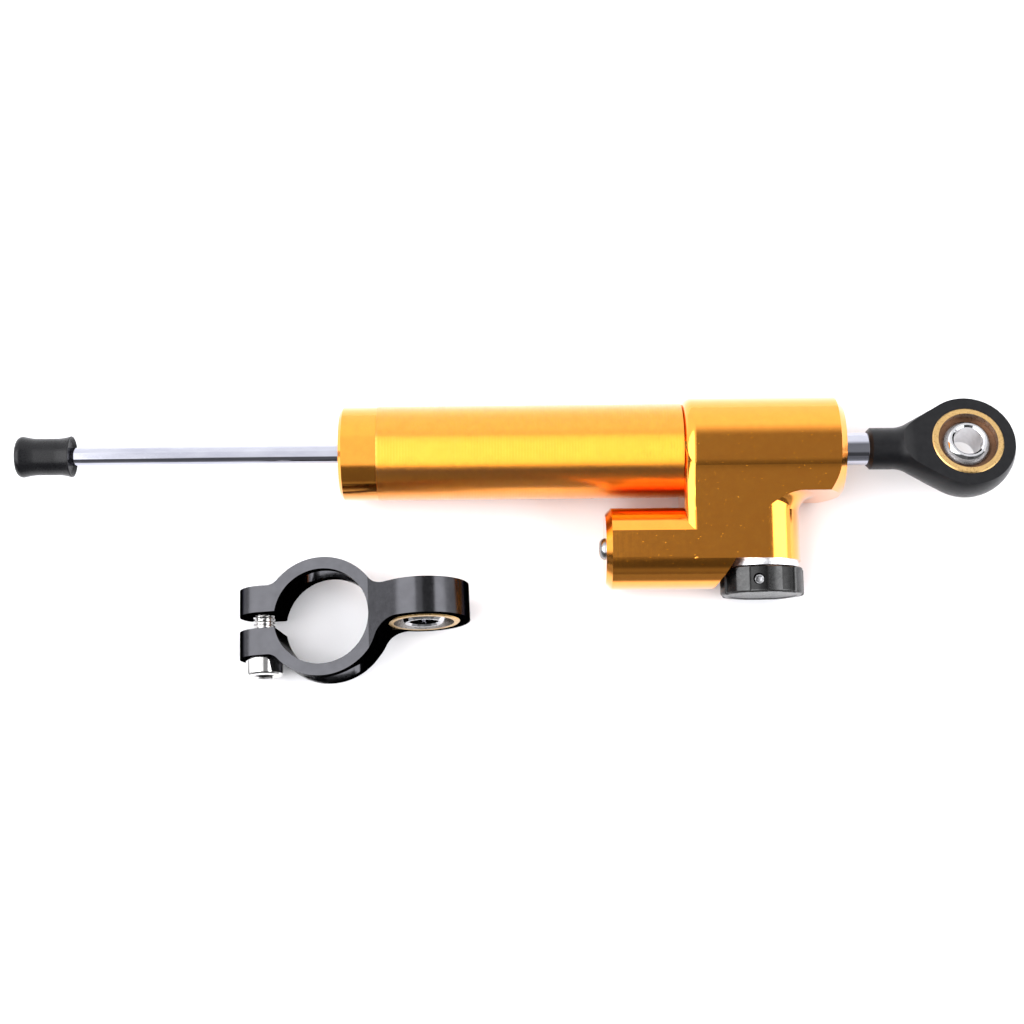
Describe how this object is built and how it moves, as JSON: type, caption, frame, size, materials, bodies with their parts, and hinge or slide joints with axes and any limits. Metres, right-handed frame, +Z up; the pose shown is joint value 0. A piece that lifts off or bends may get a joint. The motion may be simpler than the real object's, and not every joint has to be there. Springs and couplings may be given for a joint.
{
  "type": "motorcycle steering damper",
  "caption": "Hydraulic steering damper with through rod, damping knob, oil reservoir and spherical rod eye, beside its split clamp with a spherical eye.",
  "frame": {"origin": "centre of the ball in the rod eye, on the rod's axis", "axes": "+X along the rod from the damper towards the rod eye, +Z up from the table that the parts lie on, -Y towards the side that the reservoir, the knob and the clamp are on"},
  "size_m": [0.2751, 0.0764, 0.0306],
  "materials": {
    "gold": "gold anodised, finely turned and milled",
    "chrome": "hard chrome, polished",
    "steel": "bright steel",
    "spring_steel": "spring wire",
    "piston_alloy": "turned, plain",
    "band": "slippery guide band",
    "black_plastic": "black, semi-matt",
    "black_knob": "black anodised, satin",
    "black_eye": "black coated steel, matt",
    "clamp_grey": "black anodised, satin",
    "brass": "turned",
    "bronze": "bronze",
    "seal_rubber": "black seal rubber"
  },
  "bodies": {
    "damper": {"body_block": "gold", "cylinder_tube": "gold", "tail_cap": "gold", "tail_guide_bush": "bronze", "tail_rod_seal": "seal_rubber", "tail_wiper": "seal_rubber", "cap_o_ring": "seal_rubber", "tube_o_ring": "seal_rubber", "head_guide_bush": "bronze", "head_rod_seal": "seal_rubber", "head_wiper": "seal_rubber", "reservoir_plug": "gold", "plug_o_ring": "seal_rubber", "bleed_screw": "steel", "reservoir_spring": "spring_steel", "index_ring": "steel", "spindle_retainer": "steel"},
    "reservoir_float": {"floating_piston": "piston_alloy", "floating_piston_ring": "seal_rubber"},
    "control_knob": {"valve_spindle": "steel", "spindle_o_ring": "seal_rubber", "knob": "black_knob", "knob_set_screw": "steel", "detent_ball": "steel", "detent_spring": "spring_steel"},
    "piston_guide": {"piston_band": "band"},
    "rod": {"piston_rod": "chrome", "piston": "piston_alloy", "piston_nut": "steel", "tail_bumper": "black_plastic", "rod_eye": "black_eye", "rod_eye_bush": "brass"},
    "rod_eye_swivel": {"rod_eye_liner": "bronze"},
    "rod_eye_joint": {"rod_eye_ball": "steel"},
    "clamp": {"clamp_body": "clamp_grey", "clamp_screw": "steel", "clamp_eye_bush": "brass"},
    "clamp_eye_swivel": {"clamp_eye_liner": "bronze"},
    "clamp_eye_joint": {"clamp_eye_ball": "steel"}
  },
  "joints": [
    {"name": "rod_slide", "type": "slide", "parent": "damper", "child": "piston_guide", "axis": [1, 0, 0], "range_m": [-0.005, 0.07]},
    {"name": "rod_spin", "type": "hinge", "parent": "piston_guide", "child": "rod", "pos_m": [-0.14025, 0, 0], "axis": [1, 0, 0], "continuous": true},
    {"name": "reservoir_slide", "type": "slide", "parent": "damper", "child": "reservoir_float", "axis": [1, 0, 0], "range_m": [-0.001, 0.0123], "deforming": ["reservoir_spring"]},
    {"name": "knob_turn", "type": "hinge", "parent": "damper", "child": "control_knob", "pos_m": [-0.057, -0.03623, -0.00443], "axis": [0, -0.9926, -0.1213], "range_deg": [-120, 180]},
    {"name": "rod_eye_turn", "type": "hinge", "parent": "rod", "child": "rod_eye_swivel", "pos_m": [0, 0, 0], "axis": [0, 0.1219, 0.9925], "continuous": true},
    {"name": "rod_eye_tilt", "type": "hinge", "parent": "rod_eye_swivel", "child": "rod_eye_joint", "pos_m": [0, 0, 0], "axis": [1, 0, 0], "range_deg": [-12, 12]},
    {"name": "clamp_slide", "type": "slide", "parent": "damper", "child": "clamp", "axis": [1, 0, 0], "range_m": [-0.035, 0.034]},
    {"name": "clamp_eye_turn", "type": "hinge", "parent": "clamp", "child": "clamp_eye_swivel", "pos_m": [-0.14904, -0.04222, -0.002], "axis": [0.0349, -0.9994, 0], "continuous": true},
    {"name": "clamp_eye_tilt", "type": "hinge", "parent": "clamp_eye_swivel", "child": "clamp_eye_joint", "pos_m": [-0.14904, -0.04222, -0.002], "axis": [0.9906, 0.0346, 0.1324], "range_deg": [-12, 12]}
  ],
  "couplings": [
    {"joint": "reservoir_slide", "follows": "rod_slide", "ratio": 0.17284}
  ]
}
